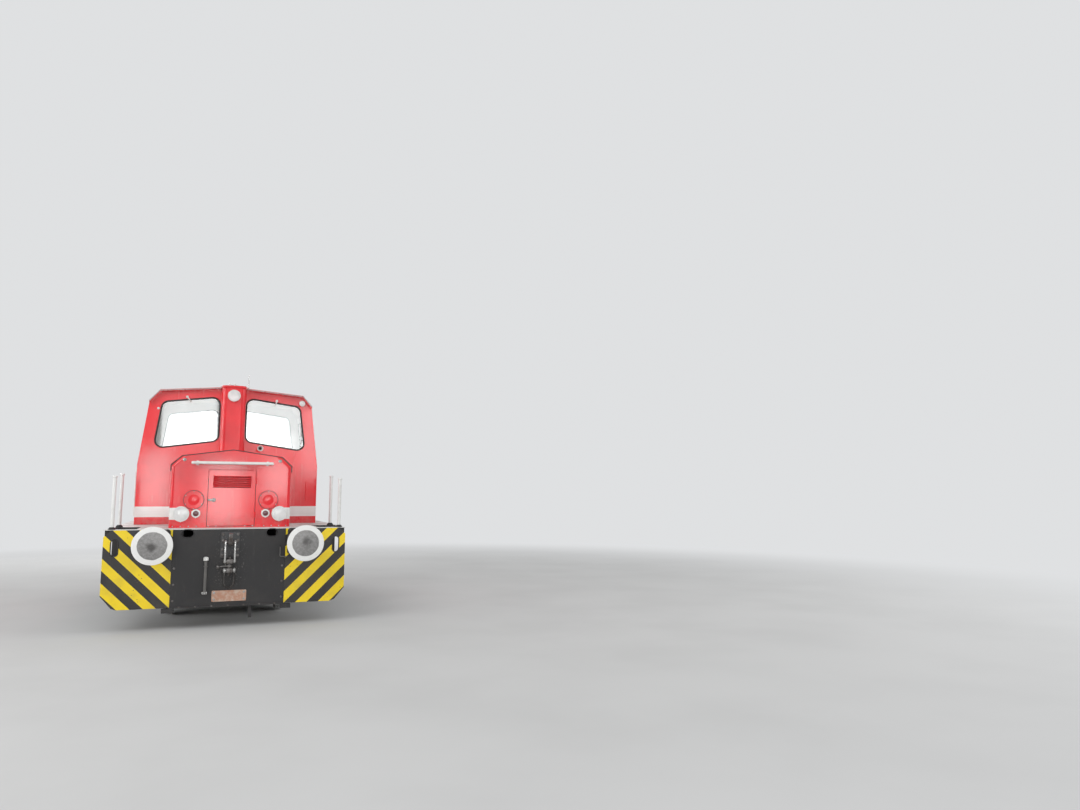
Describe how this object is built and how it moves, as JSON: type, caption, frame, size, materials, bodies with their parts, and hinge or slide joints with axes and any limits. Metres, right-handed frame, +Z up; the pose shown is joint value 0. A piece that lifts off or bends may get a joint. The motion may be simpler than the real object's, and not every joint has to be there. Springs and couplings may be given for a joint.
{
  "type": "two-axle centre-cab diesel shunting locomotive",
  "caption": "Small red two-axle shunting locomotive with a central cab between two low hoods, side rods, buffers, screw couplings and striped corner plates.",
  "frame": {"origin": "middle of the locomotive at the lowest point of the wheel flanges", "axes": "+Z up, -Y towards the front end shown in the picture, +X to the right seen from the front"},
  "size_m": [2.91, 6.94, 3.5309],
  "materials": {
    "red_paint": "gloss signal red with a white band",
    "frame_paint": "satin black, dusty",
    "stripe_paint": "yellow with black diagonal stripes",
    "white_paint": "gloss white",
    "buffer_steel": "bare disc with a white painted rim",
    "worn_steel": "worn and oily",
    "wheel_steel": "dark with bright treads",
    "window_glass": "clear",
    "engine_paint": "grey enamel",
    "desk_paint": "grey enamel",
    "seat_leather": "black seat cover",
    "horn_metal": "gloss"
  },
  "bodies": {
    "chassis": {"axle_boxes": "frame_paint", "brake_gear": "frame_paint", "brake_pipes": "worn_steel", "buffers": "buffer_steel", "cab_front_wall": "red_paint", "cab_glass": "window_glass", "cab_ladders": "frame_paint", "cab_left_wall": "red_paint", "cab_rear_wall": "red_paint", "cab_right_wall": "red_paint", "cab_roof": "red_paint", "control_desk": "desk_paint", "corner_plates": "stripe_paint", "corner_steps": "frame_paint", "deck": "frame_paint", "draw_hooks": "worn_steel", "engine_block": "engine_paint", "exhaust_stack": "red_paint", "front_beam": "frame_paint", "front_hood": "red_paint", "handrails": "white_paint", "horn_and_aerial": "horn_metal", "lamps": "white_paint", "main_frame": "frame_paint", "rear_beam": "frame_paint", "rear_hood": "red_paint", "screw_couplings": "worn_steel", "seats": "seat_leather", "tanks": "frame_paint", "transmission_case": "frame_paint"},
    "front_wheelset": {"front_wheels": "wheel_steel", "front_axle": "wheel_steel"},
    "rear_wheelset": {"rear_wheels": "wheel_steel", "rear_axle": "wheel_steel"},
    "jackshaft_cranks": {"jackshaft": "wheel_steel"},
    "left_rod": {"coupling_rod_left": "worn_steel"},
    "right_rod": {"coupling_rod_right": "worn_steel"},
    "left_cab_door": {"cab_door_left": "red_paint", "cab_door_glass_left": "window_glass"},
    "right_cab_door": {"cab_door_right": "red_paint", "cab_door_glass_right": "window_glass"},
    "front_end_door": {"front_hood_door": "red_paint"},
    "rear_end_door": {"rear_hood_door": "red_paint"},
    "front_left_side_door": {"front_hood_door_left": "red_paint"},
    "front_right_side_door": {"front_hood_door_right": "red_paint"},
    "rear_left_side_door": {"rear_hood_door_left": "red_paint"},
    "rear_right_side_door": {"rear_hood_door_right": "red_paint"}
  },
  "joints": [
    {"name": "front_wheelset_spin", "type": "hinge", "parent": "chassis", "child": "front_wheelset", "pos_m": [0, -1.25, 0.503], "axis": [1, 0, 0], "continuous": true},
    {"name": "rear_wheelset_spin", "type": "hinge", "parent": "chassis", "child": "rear_wheelset", "pos_m": [0, 1.25, 0.503], "axis": [1, 0, 0], "continuous": true},
    {"name": "jackshaft_spin", "type": "hinge", "parent": "chassis", "child": "jackshaft_cranks", "pos_m": [0, 0, 0.503], "axis": [1, 0, 0], "continuous": true},
    {"name": "left_rod_pin", "type": "hinge", "parent": "front_wheelset", "child": "left_rod", "pos_m": [-0.892, -1.42678, 0.32622], "axis": [1, 0, 0], "continuous": true},
    {"name": "right_rod_pin", "type": "hinge", "parent": "front_wheelset", "child": "right_rod", "pos_m": [0.892, -1.07322, 0.32622], "axis": [1, 0, 0], "continuous": true},
    {"name": "left_cab_door_hinge", "type": "hinge", "parent": "chassis", "child": "left_cab_door", "pos_m": [-1.292, 0.33, 1.74], "axis": [0, 0, -1], "range_deg": [0, 90]},
    {"name": "right_cab_door_hinge", "type": "hinge", "parent": "chassis", "child": "right_cab_door", "pos_m": [1.292, 0.33, 1.74], "axis": [0, 0, 1], "range_deg": [0, 90]},
    {"name": "front_end_door_hinge", "type": "hinge", "parent": "chassis", "child": "front_end_door", "pos_m": [0.3, -2.536, 1.643], "axis": [0, 0, 1], "range_deg": [0, 110]},
    {"name": "front_left_side_door_hinge", "type": "hinge", "parent": "chassis", "child": "front_left_side_door", "pos_m": [-0.771, -1.06, 1.655], "axis": [0, 0, -1], "range_deg": [0, 95]},
    {"name": "front_right_side_door_hinge", "type": "hinge", "parent": "chassis", "child": "front_right_side_door", "pos_m": [0.771, -1.06, 1.655], "axis": [0, 0, 1], "range_deg": [0, 95]},
    {"name": "rear_end_door_hinge", "type": "hinge", "parent": "chassis", "child": "rear_end_door", "pos_m": [0.3, 2.536, 1.643], "axis": [0, 0, -1], "range_deg": [0, 110]},
    {"name": "rear_left_side_door_hinge", "type": "hinge", "parent": "chassis", "child": "rear_left_side_door", "pos_m": [-0.771, 1.06, 1.655], "axis": [0, 0, 1], "range_deg": [0, 95]},
    {"name": "rear_right_side_door_hinge", "type": "hinge", "parent": "chassis", "child": "rear_right_side_door", "pos_m": [0.771, 1.06, 1.655], "axis": [0, 0, -1], "range_deg": [0, 95]}
  ],
  "couplings": [
    {"joint": "rear_wheelset_spin", "follows": "front_wheelset_spin", "ratio": 1},
    {"joint": "jackshaft_spin", "follows": "front_wheelset_spin", "ratio": 1},
    {"joint": "left_rod_pin", "follows": "front_wheelset_spin", "ratio": -1},
    {"joint": "right_rod_pin", "follows": "front_wheelset_spin", "ratio": -1}
  ]
}
